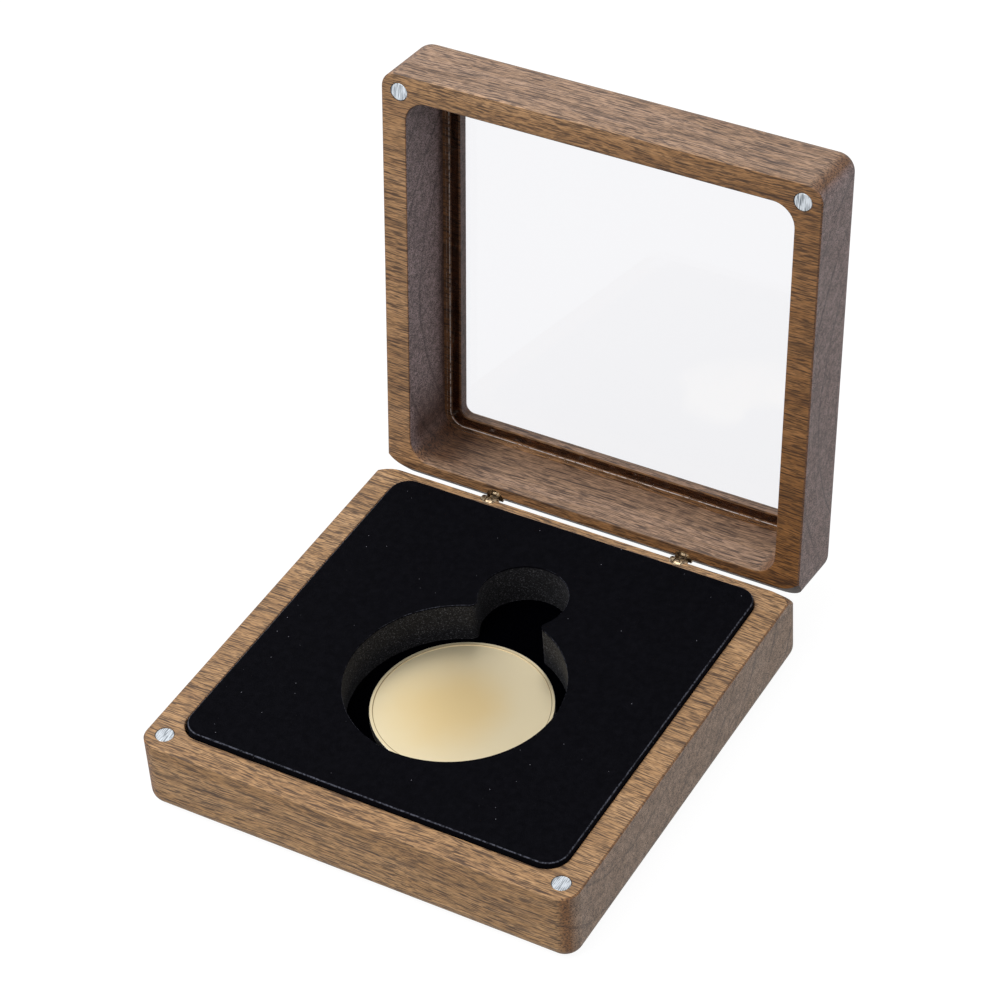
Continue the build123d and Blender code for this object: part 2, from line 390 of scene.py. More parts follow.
def makeVelvet():
    # a sheet drawn over the foam, rolled over its outer edge and cut out at the recess
    low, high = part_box("velvet_cover")
    nap = Vector((1, 1, 0)) * velvet["napHeight"] / 2
    low, high = low + nap, high - nap
    corner = velvet["corner"]
    top = high.z - velvet["napHeight"] / 2
    band = velvet["edgeRoll"] * velvet["rollBand"]
    inwards = Vector((1, 1, 0)) * band
    flatLow, flatHigh = low + inwards, high - inwards
    flatCorner = corner - band
    piece = addRoundedSquare("velvetTop", flatLow, flatHigh, flatCorner, top)
    bridgeOutlines(piece, addKeyhole("velvetCut", top), insert["topRings"])
    startEditing(piece)
    selectEdges(piece, lambda edge: isRim(edge, flatLow, flatHigh, flatCorner))
    bpy.ops.mesh.extrude_edges_move()
    pushOut(piece, flatLow, flatHigh, flatCorner, band)
    selectEdges(piece, lambda edge: isRim(edge, low, high, corner))
    drop = (top - low.z) / velvet["sideRows"]
    for _ in range(velvet["sideRows"]):
        bpy.ops.mesh.extrude_edges_move(TRANSFORM_OT_translate={"value": (0, 0, -drop)})
    topEdge = top - keyhole["weldGap"]
    selectEdges(
        piece,
        lambda edge: isRim(edge, low, high, corner)
        and all(end.co.z > topEdge for end in edge.verts),
    )
    bpy.ops.mesh.bevel(
        offset=velvet["edgeRoll"], segments=velvet["rollSteps"], affect="EDGES",
    )
    settleNormals(piece)
    bpy.ops.object.mode_set(mode="OBJECT")
    useModifier(
        piece, "SOLIDIFY", thickness=velvet["thickness"], offset=-1, use_even_offset=True,
    )
    useModifier(
        piece, "BEVEL", width=velvet["cutEdgeRound"], segments=velvet["cutEdgeSteps"],
        limit_method="ANGLE", angle_limit=velvet["cutEdgeAngle"],
    )
    useModifier(piece, "SUBSURF", levels=1, render_levels=1)
    swell = cloudTexture("velvetSwell", velvet["swellSize"], velvet["swellDetail"])
    useModifier(
        piece, "DISPLACE", texture=swell, strength=velvet["swell"],
        mid_level=velvet["swellLevel"], texture_coords="LOCAL",
    )
    useModifier(
        piece, "DISPLACE", texture=cloudTexture("velvetNap", velvet["napSize"]),
        strength=velvet["napHeight"], mid_level=0.5, texture_coords="LOCAL",
    )
    return piece


velvetTop = makeVelvet()
foamBlock = makeFoam()
recessLiner = makeFilledPad("recessLiner", "recess_floor", liner)
backingPad = makeFilledPad("backingPad", "insert_pad", backing)
for piece in (velvetTop, foamBlock, recessLiner, backingPad):
    activate(piece)
    bpy.ops.object.shade_smooth_by_angle(angle=insert["smoothAngle"])
print("insert: velvet, foam, liner and backing pad modelled")


# materials

lidTurn = sum(joint["range_deg"][1] for joint in frame["joints"] if "range_deg" in joint)

walnutGrain = {  # sizes in millimetres
    "swaySize": 45,
    "swayReach": 4.0,
    "streakLength": 26,
    "streakWidth": 1.2,
    "bandWidth": 7,
    "bandShare": 0.45,
    "ringSpacing": 8.5,
    "ringSquash": 0.15,
    "ringWander": 1.1,
    "pores": ((4.0, 0.21, 0.82), (1.8, 0.16, 0.62)),  # length, width and darkness
    "poreSpacing": 0.72,
    "poreFrom": 0.54,
    "poreTo": 0.61,
    "poreDepth": mm(0.05),
    "fibreLength": 1.4,
    "fibreWidth": 0.26,
    "fibreSpacing": 0.8,
    # how much of the painted side shade reaches the ends
    "endSideShadeShare": -0.6,
    "roughDark": 0.62,
    "roughLight": 0.50,
    "index": 1.45,
}
walnutBase = {
    "origin": (0.0, 0.0, 0.0),
    "turn": 0.0,
    "pith": (0.0, 21.0, -46.0),
    "light": "#c39b70",
    "middle": "#ae865b",
    "dark": "#987452",
    "growthLine": "#4e3522",
    "pore": "#33211a",
    "endLight": "#a08773",
    "endDark": "#3a2a22",
    # the tints below are painted light and shade: shade in rounded corners, light on faces that
    # look up, shade on the lid's bevel, on one side of the board and in the lid's recesses
    "cornerShadeTint": (0.62, 0.52, 0.46),
    "topLightTint": (0.80, 0.80, 0.82),
    "bevelShadeTint": (1.0, 1.0, 1.0),
    "sideShade": "#9c8179",
    "sideShadeWay": (-0.85, 0.0, -0.53),
    "sideShadeFrom": 36.0,
    "sideShadeTo": 43.0,
    "recessShade": None,
}
walnutLid = dict(
    walnutBase,
    origin=(0.0, 0.0547, 0.0629),
    turn=math.radians(-lidTurn),
    pith=(0.0, -9.0, -58.0),
    light="#b9916a",
    middle="#a37c55",
    dark="#8c684b",
    endLight="#9a8787",
    endDark="#241b1e",
    # the lid's painted light and shade: a greyer sheen on faces that look up, and shade on one
    # side of the board, on its bevel and in its recesses
    topLightTint=(0.76, 0.84, 1.13),
    sideShade="#b99c68",
    sideShadeWay=(0.91, 0.42, 0.0),
    sideShadeFrom=-45.0,
    sideShadeTo=75.0,
    bevelShadeTint=(0.36, 0.33, 0.40),
    recessShade="#ad9c90",
)
# where the lid's painted shade falls
recessShadePlace = {  # on the lid's board in millimetres, z being the depth below its joint face
    "ledgeDepth": (12.5, 14.5),
    "ledgeLeft": (-38.0, -39.8),
    "pocketDepth": (0.5, 4.0),
    "cornerReach": (50.0, 58.0),
    "cornerWay": (-0.707, 0.707, 0.0),
    "pocketLeft": -44.5,
    "pocketHalf": 45.5,
    "outerSkin": 16.9,
}


def makeWalnut(name, look):
    # oiled American walnut, planed and sanded: the grain runs along x, so the long faces show
    # pores as short dark dashes on faint streaks, and the ends show the same pores as greyer dots
    material, tree, surface = newMaterial(name)
    coordinates = addNode(tree, "TexCoord")
    board = addNode(tree, "Mapping", {
        "Vector": coordinates.outputs["Object"],
        "Location": look["origin"],
        "Rotation": (look["turn"], 0, 0),
        "Scale": (millimetre,) * 3,
    }, vector_type="TEXTURE").outputs["Vector"]  # the board's own millimetres, x along the grain
    sway = addNode(tree, "TexNoise", {
        "Vector": board, "Scale": 1 / walnutGrain["swaySize"], "Detail": 1.0,
    })
    reach = walnutGrain["swayReach"]
    swayed = addNode(tree, "VectorMath", {
        0: sway.outputs["Color"], 1: (0.0, reach, reach), 2: board,
    }, operation="MULTIPLY_ADD").outputs["Vector"]
    streakPlace = addNode(tree, "Mapping", {
        "Vector": swayed, "Scale": (1 / walnutGrain["streakLength"], 1, 1),
    }).outputs["Vector"]
    streaks = addNode(tree, "TexNoise", {
        "Vector": streakPlace, "Scale": 1 / walnutGrain["streakWidth"], "Detail": 4.0,
        "Roughness": 0.65,
    })
    broad = addNode(tree, "TexNoise", {
        "Vector": streakPlace, "Scale": 1 / walnutGrain["bandWidth"], "Detail": 2.0,
    })
    toned = addNode(tree, "Mix", {
        "Factor": walnutGrain["bandShare"], 2: streaks.outputs["Fac"], 3: broad.outputs["Fac"],
    })
    grain = addNode(tree, "ValToRGB", {"Fac": toned.outputs[0]}, stops=[
        (0.28, colour(look["dark"])), (0.47, colour(look["middle"])),
        (0.66, colour(look["light"])),
    ])
    # growth rings round the pith, which is far below the board, so faces cut them as lines
    # along x. A wave of scale 0.314 repeats once in each unit
    ringPlace = addNode(tree, "Mapping", {
        "Vector": swayed, "Location": look["pith"], "Scale": (walnutGrain["ringSquash"], 1, 1),
    })
    rings = addNode(tree, "TexWave", {
        "Vector": ringPlace.outputs["Vector"], "Scale": 0.314 / walnutGrain["ringSpacing"],
        "Distortion": walnutGrain["ringWander"], "Detail": 2.0, "Detail Scale": 0.6,
    }, wave_type="RINGS", rings_direction="X", wave_profile="SAW")
    ringLine = addNode(tree, "ValToRGB", {"Fac": rings.outputs["Fac"]}, stops=[
        (0.0, (0.2, 0.2, 0.2)), (0.07, (0, 0, 0)), (0.90, (0, 0, 0)), (0.98, (0.9, 0.9, 0.9)),
    ])
    ringBreak = addNode(tree, "Math", {
        0: ringLine.outputs["Color"], 1: broad.outputs["Fac"],
    }, operation="MULTIPLY")
    ringed = addNode(tree, "Mix", {
        "Factor": ringBreak.outputs[0], 6: grain.outputs["Color"],
        7: colour(look["growthLine"]),
    }, data_type="RGBA")
    # pores: long ones about 0.2 mm wide, and short fine ones between them
    poreMasks = []
    for length, width, darkness in walnutGrain["pores"]:
        porePlace = addNode(tree, "Mapping", {
            "Vector": swayed, "Location": (length * 7, 0, 0),  # so the two kinds fall apart
            "Scale": (1 / length, 1 / width, 1 / width),
        })
        pores = addNode(tree, "TexNoise", {
            "Vector": porePlace.outputs["Vector"], "Scale": walnutGrain["poreSpacing"],
            "Detail": 1.0, "Roughness": 0.5,
        })
        poreMasks.append(addNode(tree, "MapRange", {
            "Value": pores.outputs["Fac"], "From Min": walnutGrain["poreFrom"],
            "From Max": walnutGrain["poreTo"], "To Max": darkness,
        }).outputs[0])
    poreMask = addNode(tree, "Math", {0: poreMasks[0], 1: poreMasks[1]}, operation="MAXIMUM")
    across = 1 / walnutGrain["fibreWidth"]
    fibrePlace = addNode(tree, "Mapping", {
        "Vector": swayed, "Scale": (1 / walnutGrain["fibreLength"], across, across),
    })
    fibres = addNode(tree, "TexNoise", {
        "Vector": fibrePlace.outputs["Vector"], "Scale": walnutGrain["fibreSpacing"],
        "Detail": 1.0, "Roughness": 0.5,
    })
    fibreShade = addNode(tree, "MapRange", {
        "Value": fibres.outputs["Fac"], "From Min": 0.35, "From Max": 0.65,
        "To Min": 0.78, "To Max": 1.24,
    })
    fibred = addNode(tree, "VectorMath", {
        0: ringed.outputs[2], "Scale": fibreShade.outputs[0],
    }, operation="SCALE")
    pored = addNode(tree, "Mix", {
        "Factor": poreMask.outputs[0], 6: fibred.outputs["Vector"], 7: colour(look["pore"]),
    }, data_type="RGBA")
    # painted light: faces that look up or down get a tint for how light falls on them, painted
    # shade on the base and a greyer painted sheen on the lid
    facing = addNode(tree, "SeparateXYZ", {"Vector": coordinates.outputs["Normal"]})
    upness = addNode(tree, "Math", {0: facing.outputs["Z"], 1: 2.0}, operation="POWER")
    topLit = addNode(tree, "Mix", {
        "Factor": upness.outputs[0], 6: pored.outputs[2], 7: (*look["topLightTint"], 1.0),
    }, data_type="RGBA", blend_type="MULTIPLY")
    # painted shade: rounded corners, whose faces turn partly along x, are painted a deeper brown
    # for the shade that gathers in them
    endness = addNode(tree, "Math", {0: facing.outputs["X"]}, operation="ABSOLUTE")
    slanted = addNode(tree, "MapRange", {
        "Value": endness.outputs[0], "From Min": 0.15, "From Max": 0.5,
    })
    cornerShaded = addNode(tree, "Mix", {
        "Factor": slanted.outputs[0], 6: topLit.outputs[2], 7: (*look["cornerShadeTint"], 1.0),
    }, data_type="RGBA", blend_type="MULTIPLY")
    # painted shade: the lid's bevel at the hinge looks aslant downwards, away from the light, and
    # is painted darker
    depression = addNode(tree, "Math", {0: facing.outputs["Z"], 1: -1.0}, operation="MULTIPLY")
    aslant = addNode(tree, "ValToRGB", {"Fac": depression.outputs[0]}, stops=[
        (0.05, (0, 0, 0)), (0.3, (1, 1, 1)), (0.82, (1, 1, 1)), (0.95, (0, 0, 0)),
    ])
    bevelShaded = addNode(tree, "Mix", {
        "Factor": aslant.outputs["Color"], 6: cornerShaded.outputs[2], 7: (*look["bevelShadeTint"], 1.0),
    }, data_type="RGBA", blend_type="MULTIPLY")
    # end grain where the face looks along x: the pores are cut across, so they are fine dots
    endGrain = addNode(tree, "Mix", {
        "Factor": poreMask.outputs[0], 6: colour(look["endLight"]), 7: colour(look["endDark"]),
    }, data_type="RGBA")
    endShade = addNode(tree, "MapRange", {
        "Value": streaks.outputs["Fac"], "From Min": 0.38, "From Max": 0.62,
        "To Min": 0.70, "To Max": 1.36,
    })
    endFibred = addNode(tree, "VectorMath", {
        0: endGrain.outputs[2], "Scale": endShade.outputs[0],
    }, operation="SCALE")
    endRinged = addNode(tree, "Mix", {
        "Factor": ringBreak.outputs[0], 6: endFibred.outputs["Vector"],
        7: colour(look["endDark"]),
    }, data_type="RGBA")
    endMask = addNode(tree, "MapRange", {
        "Value": endness.outputs[0], "From Min": 0.70, "From Max": 0.95,
    })
    cut = addNode(tree, "Mix", {
        "Factor": endMask.outputs[0], 6: bevelShaded.outputs[2], 7: endRinged.outputs[2],
    }, data_type="RGBA")
    # painted shade: the board is painted darker towards one side, where less light falls, least so
    # on its ends
    sideShadePlace = addNode(tree, "VectorMath", {
        0: board, 1: look["sideShadeWay"],
    }, operation="DOT_PRODUCT")
    sideShadeLevel = addNode(tree, "MapRange", {
        "Value": sideShadePlace.outputs["Value"], "From Min": look["sideShadeFrom"],
        "From Max": look["sideShadeTo"],
    })
    levelness = addNode(tree, "Math", {0: 1.0, 1: upness.outputs[0]}, operation="SUBTRACT")
    sideways = addNode(tree, "Math", {
        0: endness.outputs[0], 1: walnutGrain["endSideShadeShare"], 2: levelness.outputs[0],
    }, operation="MULTIPLY_ADD")
    sideShadeMask = addNode(tree, "Math", {
        0: sideShadeLevel.outputs[0], 1: sideways.outputs[0],
    }, operation="MULTIPLY")
    finished = addNode(tree, "Mix", {
        "Factor": sideShadeMask.outputs[0], 6: cut.outputs[2], 7: colour(look["sideShade"]),
    }, data_type="RGBA", blend_type="MULTIPLY")
    # painted shade in the lid's recesses
    if look["recessShade"]:
        finished = addRecessShade(tree, board, finished, look["recessShade"])
    roughness = addNode(tree, "MapRange", {
        "Value": toned.outputs[0], "From Min": 0.3, "From Max": 0.7,
        "To Min": walnutGrain["roughDark"], "To Max": walnutGrain["roughLight"],
    })
    height = addNode(tree, "Math", {0: poreMask.outputs[0], 1: -1.0}, operation="MULTIPLY")
    bump = addNode(tree, "Bump", {
        "Height": height.outputs[0], "Strength": 0.5, "Distance": walnutGrain["poreDepth"],
    })
    setInputs(tree, surface, {
        "IOR": walnutGrain["index"], "Base Color": finished.outputs[2],
        "Roughness": roughness.outputs[0], "Normal": bump.outputs["Normal"],
    })
    return material


def addRecessShade(tree, board, wood, recessShadeTint):
    # painted shade on the ledge's left side and in the pocket's left corner, where the walls keep
    # the light off
    apart = addNode(tree, "SeparateXYZ", {"Vector": board})
    cornerwise = addNode(tree, "VectorMath", {
        0: board, 1: recessShadePlace["cornerWay"],
    }, operation="DOT_PRODUCT")
    masks = []
    for source, measure in (
        (apart.outputs["Z"], "ledgeDepth"), (apart.outputs["X"], "ledgeLeft"),
        (apart.outputs["Z"], "pocketDepth"), (cornerwise.outputs["Value"], "cornerReach"),
    ):
        start, end = recessShadePlace[measure]
        masks.append(addNode(tree, "MapRange", {
            "Value": source, "From Min": start, "From Max": end,
        }).outputs[0])
    onLedge = addNode(tree, "Math", {0: masks[0], 1: masks[1]}, operation="MULTIPLY")
    inCorner = addNode(tree, "Math", {0: masks[2], 1: masks[3]}, operation="MULTIPLY")
    mask = addNode(tree, "Math", {
        0: onLedge.outputs[0], 1: inCorner.outputs[0],
    }, operation="MAXIMUM")
    # the same places on the lid's outer faces get no painted shade
    fromMiddle = addNode(tree, "Math", {0: apart.outputs["Y"]}, operation="ABSOLUTE")
    for source, limit, side in (
        (apart.outputs["X"], "pocketLeft", "GREATER_THAN"),
        (fromMiddle.outputs[0], "pocketHalf", "LESS_THAN"),
        (apart.outputs["Z"], "outerSkin", "LESS_THAN"),
    ):
        inside = addNode(tree, "Math", {0: source, 1: recessShadePlace[limit]}, operation=side)
        mask = addNode(tree, "Math", {
            0: mask.outputs[0], 1: inside.outputs[0],
        }, operation="MULTIPLY")
    return addNode(tree, "Mix", {
        "Factor": mask.outputs[0], 6: wood.outputs[2], 7: colour(recessShadeTint),
    }, data_type="RGBA", blend_type="MULTIPLY")


paint(["base_block"], makeWalnut("oiledWalnutBase", walnutBase))
paint(["lid_frame"], makeWalnut("oiledWalnutLid", walnutLid))

velvetLook = {  # sizes in millimetres
    "pile": "#020205",
    "pileLight": "#09090e",
    # the colour of the painted highlight along the folds
    "edgeHighlight": "#50525c",
    "lint": "#8d8d96",
    "sheen": "#8f93b0",
    "clumpSize": 1.6,
    "lintSpacing": 1.7,
    "lintRadius": 0.06,
    "lintCore": 0.4,
    "lintRarity": 0.7,
    "openEndSize": 0.45,
    "tuftSize": 0.18,
    "tuftHeight": mm(0.12),
}


def makeVelvetPile():
    # black cotton velvet: a short matt pile with a few specks of lint; where it folds, the pile's
    # ends catch the light, and this is painted as a broken grey highlight line. Its tufts are
    # drawn coarser than real ones, which are too fine to show
    material, tree, surface = newMaterial("blackCottonVelvet")
    place, millimetres = placeOnPiece(tree)
    clumps = addNode(tree, "TexNoise", {
        "Vector": millimetres, "Scale": 1 / velvetLook["clumpSize"], "Detail": 6.0,
        "Roughness": 0.75,
    })
    pile = addNode(tree, "ValToRGB", {"Fac": clumps.outputs["Fac"]}, stops=[
        (0.40, colour(velvetLook["pile"])), (0.75, colour(velvetLook["pileLight"])),
    ])
    specks = addNode(tree, "TexVoronoi", {
        "Vector": millimetres, "Scale": 1 / velvetLook["lintSpacing"], "Randomness": 1.0,
    })
    near = addNode(tree, "MapRange", {
        "Value": specks.outputs["Distance"], "From Min": velvetLook["lintRadius"],
        "From Max": velvetLook["lintRadius"] * velvetLook["lintCore"],
    })
    chosen = addNode(tree, "SeparateColor", {"Color": specks.outputs["Color"]})
    few = addNode(tree, "Math", {
        0: chosen.outputs["Red"], 1: velvetLook["lintRarity"],
    }, operation="GREATER_THAN")
    speckMask = addNode(tree, "Math", {
        0: near.outputs[0], 1: few.outputs[0],
    }, operation="MULTIPLY")
    linted = addNode(tree, "Mix", {
        "Factor": speckMask.outputs[0], 6: pile.outputs["Color"], 7: colour(velvetLook["lint"]),
    }, data_type="RGBA")
    # painted highlight: where the pile folds over the edges, a broken grey line is painted on
    fold = addNode(tree, "SeparateXYZ", {"Vector": place.outputs["Normal"]})
    folded = addNode(tree, "ValToRGB", {"Fac": fold.outputs["Z"]}, stops=[
        (0.25, (0, 0, 0)), (0.62, (1, 1, 1)), (0.88, (1, 1, 1)), (0.97, (0, 0, 0)),
    ])
    ends = addNode(tree, "TexNoise", {
        "Vector": millimetres, "Scale": 1 / velvetLook["openEndSize"], "Detail": 1.0,
    })
    openEnds = addNode(tree, "MapRange", {
        "Value": ends.outputs["Fac"], "From Min": 0.38, "From Max": 0.60, "To Min": 0.15,
    })
    edgeHighlightMask = addNode(tree, "Math", {
        0: folded.outputs["Color"], 1: openEnds.outputs[0],
    }, operation="MULTIPLY")
    finished = addNode(tree, "Mix", {
        "Factor": edgeHighlightMask.outputs[0], 6: linted.outputs[2], 7: colour(velvetLook["edgeHighlight"]),
    }, data_type="RGBA")
    tufts = addNode(tree, "TexNoise", {
        "Vector": millimetres, "Scale": 1 / velvetLook["tuftSize"], "Detail": 2.0,
    })
    bump = addNode(tree, "Bump", {
        "Height": tufts.outputs["Fac"], "Strength": 0.8, "Distance": velvetLook["tuftHeight"],
    })
    setInputs(tree, surface, {
        "Roughness": 0.95, "Specular IOR Level": 0.05, "Sheen Weight": 0.03,
        "Sheen Roughness": 0.35, "Sheen Tint": colour(velvetLook["sheen"]),
        "Base Color": finished.outputs[2], "Normal": bump.outputs["Normal"],
    })
    return material


foamLook = {  # sizes in millimetres
    "hollow": "#050508",
    "skin": "#1e1e22",
    "tornEdge": "#5c5c60",
    "cellSize": 0.6,
    "cellSquash": 1.6,
    "grainSize": 0.28,
    "grainShare": 0.6,
    "cellDepth": mm(0.2),
}


def makeCutFoam():
    # black polyethylene foam cut with a blade: small torn cells, matt
    material, tree, surface = newMaterial("blackCutFoam")
    place, millimetres = placeOnPiece(tree, foamLook["cellSquash"])
    cells = addNode(tree, "TexNoise", {
        "Vector": millimetres, "Scale": 1 / foamLook["cellSize"], "Detail": 4.0,
        "Roughness": 0.65, "Distortion": 0.6,
    })
    grains = addNode(tree, "TexNoise", {
        "Vector": millimetres, "Scale": 1 / foamLook["grainSize"], "Detail": 1.0,
    })
    mixed = addNode(tree, "Mix", {
        "Factor": foamLook["grainShare"], 2: cells.outputs["Fac"], 3: grains.outputs["Fac"],
    })
    shade = addNode(tree, "ValToRGB", {"Fac": mixed.outputs[0]}, stops=[
        (0.46, colour(foamLook["hollow"])), (0.57, colour(foamLook["skin"])),
        (0.66, colour(foamLook["tornEdge"])),
    ])
    bump = addNode(tree, "Bump", {
        "Height": mixed.outputs[0], "Strength": 0.9, "Distance": foamLook["cellDepth"],
    })
    setInputs(tree, surface, {
        "Roughness": 0.8, "Specular IOR Level": 0.25,
        "Base Color": shade.outputs["Color"], "Normal": bump.outputs["Normal"],
    })
    return material


feltLook = {  # sizes in millimetres
    "deep": "#000001",
    "top": "#040407",
    "fibreSize": 0.5,
    "fibreHeight": mm(0.1),
}


def makeFelt():
    # thin black felt that swallows nearly all light. Its fibres are drawn coarser than real
    # ones, which are too fine to show
    material, tree, surface = newMaterial("blackFeltLiner")
    place, millimetres = placeOnPiece(tree)
    fibres = addNode(tree, "TexNoise", {
        "Vector": millimetres, "Scale": 1 / feltLook["fibreSize"], "Detail": 5.0,
        "Roughness": 0.7,
    })
    shade = addNode(tree, "ValToRGB", {"Fac": fibres.outputs["Fac"]}, stops=[
        (0.35, colour(feltLook["deep"])), (0.75, colour(feltLook["top"])),
    ])
    bump = addNode(tree, "Bump", {
        "Height": fibres.outputs["Fac"], "Strength": 0.6, "Distance": feltLook["fibreHeight"],
    })
    setInputs(tree, surface, {
        "Roughness": 1.0, "Specular IOR Level": 0.0,
        "Base Color": shade.outputs["Color"], "Normal": bump.outputs["Normal"],
    })
    return material


gold = {  # sizes in millimetres
    # in the colours below, the face's change from centre to edge is painted reflection, the rubbed
    # colour a painted highlight and the crease colour a painted shade
    "centre": "#eed6a1",
    "edge": "#efe1bd",
    "rimHighlight": "#fffaf0",
    "creaseShade": "#7a5f38",
    "creaseRadius": 18.45,
    "creaseWidth": 0.13,
    "creaseCore": 0.03,
    "creaseDarkness": 0.8,
    "reflectionWanderSize": 9,
    "reflectionWanderReach": 6.0,
    "lean": (0.22, 0.12, 0.0),
    "reflectionFrom": 3.0,
    "reflectionTo": 17.0,
    "roughness": 0.36,
}


def makeGold():
    # pale gold plating on a plain blank with a satin face. Painted reflection: the face is painted
    # paler towards the rim;
    # painted highlight: the rim's two sloping edges are painted bright; painted shade: a dark ring
    # at the foot of the rim
    material, tree, surface = newMaterial("paleGoldPlate")
    coinLow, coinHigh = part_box("coin_blank")
    place = addNode(tree, "TexCoord")
    millimetres = addNode(tree, "Mapping", {
        "Vector": place.outputs["Object"], "Location": ((coinLow + coinHigh) / 2)[:],
        "Scale": (millimetre, millimetre, 1.0),
    }, vector_type="TEXTURE").outputs["Vector"]
    flat = addNode(tree, "VectorMath", {
        0: millimetres, 1: (1.0, 1.0, 0.0),
    }, operation="MULTIPLY")
    radius = addNode(tree, "VectorMath", {0: flat.outputs["Vector"]}, operation="LENGTH")
    # painted reflection: the face is painted paler from its centre towards the rim, leaning to one
    # side and wandering with noise
    reflectionNoise = addNode(tree, "TexNoise", {
        "Vector": millimetres, "Scale": 1 / gold["reflectionWanderSize"], "Detail": 2.0, "Roughness": 0.5,
    })
    wander = addNode(tree, "Math", {
        0: reflectionNoise.outputs["Fac"], 1: gold["reflectionWanderReach"], 2: -gold["reflectionWanderReach"] / 2,
    }, operation="MULTIPLY_ADD")
    lean = addNode(tree, "VectorMath", {
        0: millimetres, 1: gold["lean"],
    }, operation="DOT_PRODUCT")
    leaning = addNode(tree, "Math", {
        0: radius.outputs["Value"], 1: lean.outputs["Value"],
    }, operation="ADD")
    spread = addNode(tree, "Math", {
        0: leaning.outputs[0], 1: wander.outputs[0],
    }, operation="ADD")
    reflectionMask = addNode(tree, "MapRange", {
        "Value": spread.outputs[0], "From Min": gold["reflectionFrom"], "From Max": gold["reflectionTo"],
    }, interpolation_type="SMOOTHSTEP")
    face = addNode(tree, "Mix", {
        "Factor": reflectionMask.outputs[0], 6: colour(gold["centre"]), 7: colour(gold["edge"]),
    }, data_type="RGBA")
    # painted highlight: the rim's sloping faces are painted near white
    facing = addNode(tree, "SeparateXYZ", {"Vector": place.outputs["Normal"]})
    sloping = addNode(tree, "MapRange", {
        "Value": facing.outputs["Z"], "From Min": 0.98, "From Max": 0.90,
    })
    shade = addNode(tree, "Mix", {
        "Factor": sloping.outputs[0], 6: face.outputs[2], 7: colour(gold["rimHighlight"]),
    }, data_type="RGBA")
    # painted shade: a thin dark ring painted at the foot of the rim
    fromCrease = addNode(tree, "Math", {
        0: radius.outputs["Value"], 1: gold["creaseRadius"],
    }, operation="SUBTRACT")
    creaseGap = addNode(tree, "Math", {0: fromCrease.outputs[0]}, operation="ABSOLUTE")
    inCrease = addNode(tree, "MapRange", {
        "Value": creaseGap.outputs[0], "From Min": gold["creaseWidth"],
        "From Max": gold["creaseCore"], "To Max": gold["creaseDarkness"],
    })
    creaseShaded = addNode(tree, "Mix", {
        "Factor": inCrease.outputs[0], 6: shade.outputs[2], 7: colour(gold["creaseShade"]),
    }, data_type="RGBA")
    setInputs(tree, surface, {
        "Metallic": 1.0, "Roughness": gold["roughness"], "Base Color": creaseShaded.outputs[2],
    })
    return material


nickel = {
    "dark": "#7f868d",
    "light": "#d8dfe6",
    "scratchWidth": mm(0.22),
    "scratchLength": mm(2.5),
    "scratchTurn": math.radians(35),
    "scratchDepth": mm(0.04),
    "roughness": 0.4,
}


def makeNickel(name, turn):
    # nickel plate on a ground magnet: parallel scratches across its face, drawn wider than
    # real ones, which are too fine to show
    material, tree, surface = newMaterial(name)
    place = addNode(tree, "TexCoord")
    faceOn = addNode(tree, "Mapping", {
        "Vector": place.outputs["Object"], "Rotation": (turn, 0, 0),
    })
    along = 1 / nickel["scratchLength"]
    scratchPlace = addNode(tree, "Mapping", {
        "Vector": faceOn.outputs["Vector"], "Rotation": (0, 0, nickel["scratchTurn"]),
        "Scale": (1 / nickel["scratchWidth"], along, along),
    })
    scratches = addNode(tree, "TexNoise", {
        "Vector": scratchPlace.outputs["Vector"], "Scale": 1.0, "Detail": 2.0,
    })
    shade = addNode(tree, "ValToRGB", {"Fac": scratches.outputs["Fac"]}, stops=[
        (0.38, colour(nickel["dark"])), (0.56, colour(nickel["light"])),
    ])
    bump = addNode(tree, "Bump", {
        "Height": scratches.outputs["Fac"], "Strength": 0.6, "Distance": nickel["scratchDepth"],
    })
    setInputs(tree, surface, {
        "Metallic": 1.0, "Roughness": nickel["roughness"],
        "Base Color": shade.outputs["Color"], "Normal": bump.outputs["Normal"],
    })
    return material


brass = {
    "aged": "#58463a",
    "bright": "#cdb898",
    "tarnishSize": 0.6,
    "roughness": 0.42,
}


def makeBrass():
    # turned brass that has aged brown in small patches, with bright metal left between them
    material, tree, surface = newMaterial("agedTurnedBrass")
    place, millimetres = placeOnPiece(tree)
    tarnish = addNode(tree, "TexNoise", {
        "Vector": millimetres, "Scale": 1 / brass["tarnishSize"], "Detail": 3.0,
        "Roughness": 0.6,
    })
    shade = addNode(tree, "ValToRGB", {"Fac": tarnish.outputs["Fac"]}, stops=[
        (0.38, colour(brass["aged"])), (0.60, colour(brass["bright"])),
    ])
    setInputs(tree, surface, {
        "Metallic": 1.0, "Roughness": brass["roughness"], "Base Color": shade.outputs["Color"],
    })
    return material


pane = {
    "tint": "#f7f7f8",
    "index": 1.49,
    "mirror": 0.35,
    "groundArris": "#c4b8b0",
    "arrisFrom": 0.4,
    "arrisTo": 0.9,
    "chipSize": mm(0.9),
}


